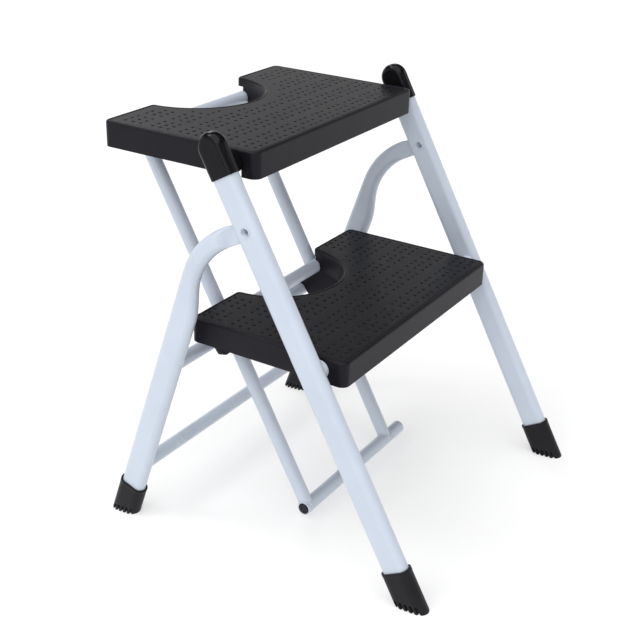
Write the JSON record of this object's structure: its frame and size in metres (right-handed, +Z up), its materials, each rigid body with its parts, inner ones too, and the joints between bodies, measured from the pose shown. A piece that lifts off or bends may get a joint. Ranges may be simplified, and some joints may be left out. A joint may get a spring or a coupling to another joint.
{
  "type": "folding step stool",
  "caption": "Folding two-step stool: flat-oval steel A-frame, moulded treads with hand notches on a parallel link frame, black caps and rubber feet.",
  "frame": {"origin": "on the floor at the centre of the footprint, with the stool open", "axes": "+X to the user's right, +Y from the front to the rear, +Z up; front legs lean back, rear legs lean forward"},
  "size_m": [0.3874, 0.4188, 0.4722],
  "materials": {
    "frame_paint": "gloss pale blue-white powder coat",
    "tread_plastic": "matte dark grey moulded plastic with a dimpled top",
    "cap_plastic": "semi-gloss black moulded plastic",
    "foot_rubber": "dark moulded rubber",
    "spacer_plastic": "pale moulded plastic",
    "clip_plastic": "matte black moulded plastic",
    "plug_plastic": "matte black moulded plastic",
    "screw_steel": "zinc-plated steel"
  },
  "bodies": {
    "front_frame": {"front_leg_left": "frame_paint", "front_leg_right": "frame_paint", "top_pivot_tube": "frame_paint", "lower_pivot_tube": "frame_paint", "top_spacers": "cap_plastic", "lower_spacers": "spacer_plastic", "leg_cap_left": "cap_plastic", "leg_cap_right": "cap_plastic", "front_foot_left": "foot_rubber", "front_foot_right": "foot_rubber", "rivet_left": "frame_paint", "rivet_right": "frame_paint"},
    "rear_frame": {"rear_leg_left": "frame_paint", "rear_leg_right": "frame_paint", "upper_rear_bar": "frame_paint", "lower_rear_bar": "frame_paint", "rear_foot_left": "foot_rubber", "rear_foot_right": "foot_rubber"},
    "top_step": {"top_tread": "tread_plastic", "top_front_straps": "clip_plastic", "top_rear_clips": "clip_plastic", "top_tread_screws": "screw_steel"},
    "lower_step": {"lower_tread": "tread_plastic", "lower_front_straps": "clip_plastic", "lower_rear_clips": "clip_plastic", "lower_tread_screws": "screw_steel"},
    "link_frame": {"link_tube_left": "frame_paint", "link_tube_right": "frame_paint", "link_top_bar": "frame_paint", "link_middle_bar": "frame_paint", "link_bottom_bar": "frame_paint", "bottom_bar_plugs": "plug_plastic", "link_tube_plugs": "plug_plastic"}
  },
  "joints": [
    {"name": "top_step_fold", "type": "hinge", "parent": "front_frame", "child": "top_step", "pos_m": [0, 0.02023, 0.438], "axis": [1, 0, 0], "range_deg": [0, 61.5]},
    {"name": "lower_step_fold", "type": "hinge", "parent": "front_frame", "child": "lower_step", "pos_m": [0, -0.07577, 0.238], "axis": [1, 0, 0], "range_deg": [0, 61.5]},
    {"name": "link_turn", "type": "hinge", "parent": "top_step", "child": "link_frame", "pos_m": [0, 0.18023, 0.438], "axis": [1, 0, 0], "range_deg": [-61.5, 0]},
    {"name": "rear_leg_fold", "type": "hinge", "parent": "front_frame", "child": "rear_frame", "pos_m": [0, -0.00857, 0.378], "axis": [1, 0, 0], "range_deg": [-46.12, 0]}
  ],
  "couplings": [
    {"joint": "lower_step_fold", "follows": "top_step_fold", "ratio": 1},
    {"joint": "link_turn", "follows": "top_step_fold", "ratio": -1},
    {"joint": "rear_leg_fold", "follows": "top_step_fold", "ratio": -0.75}
  ]
}
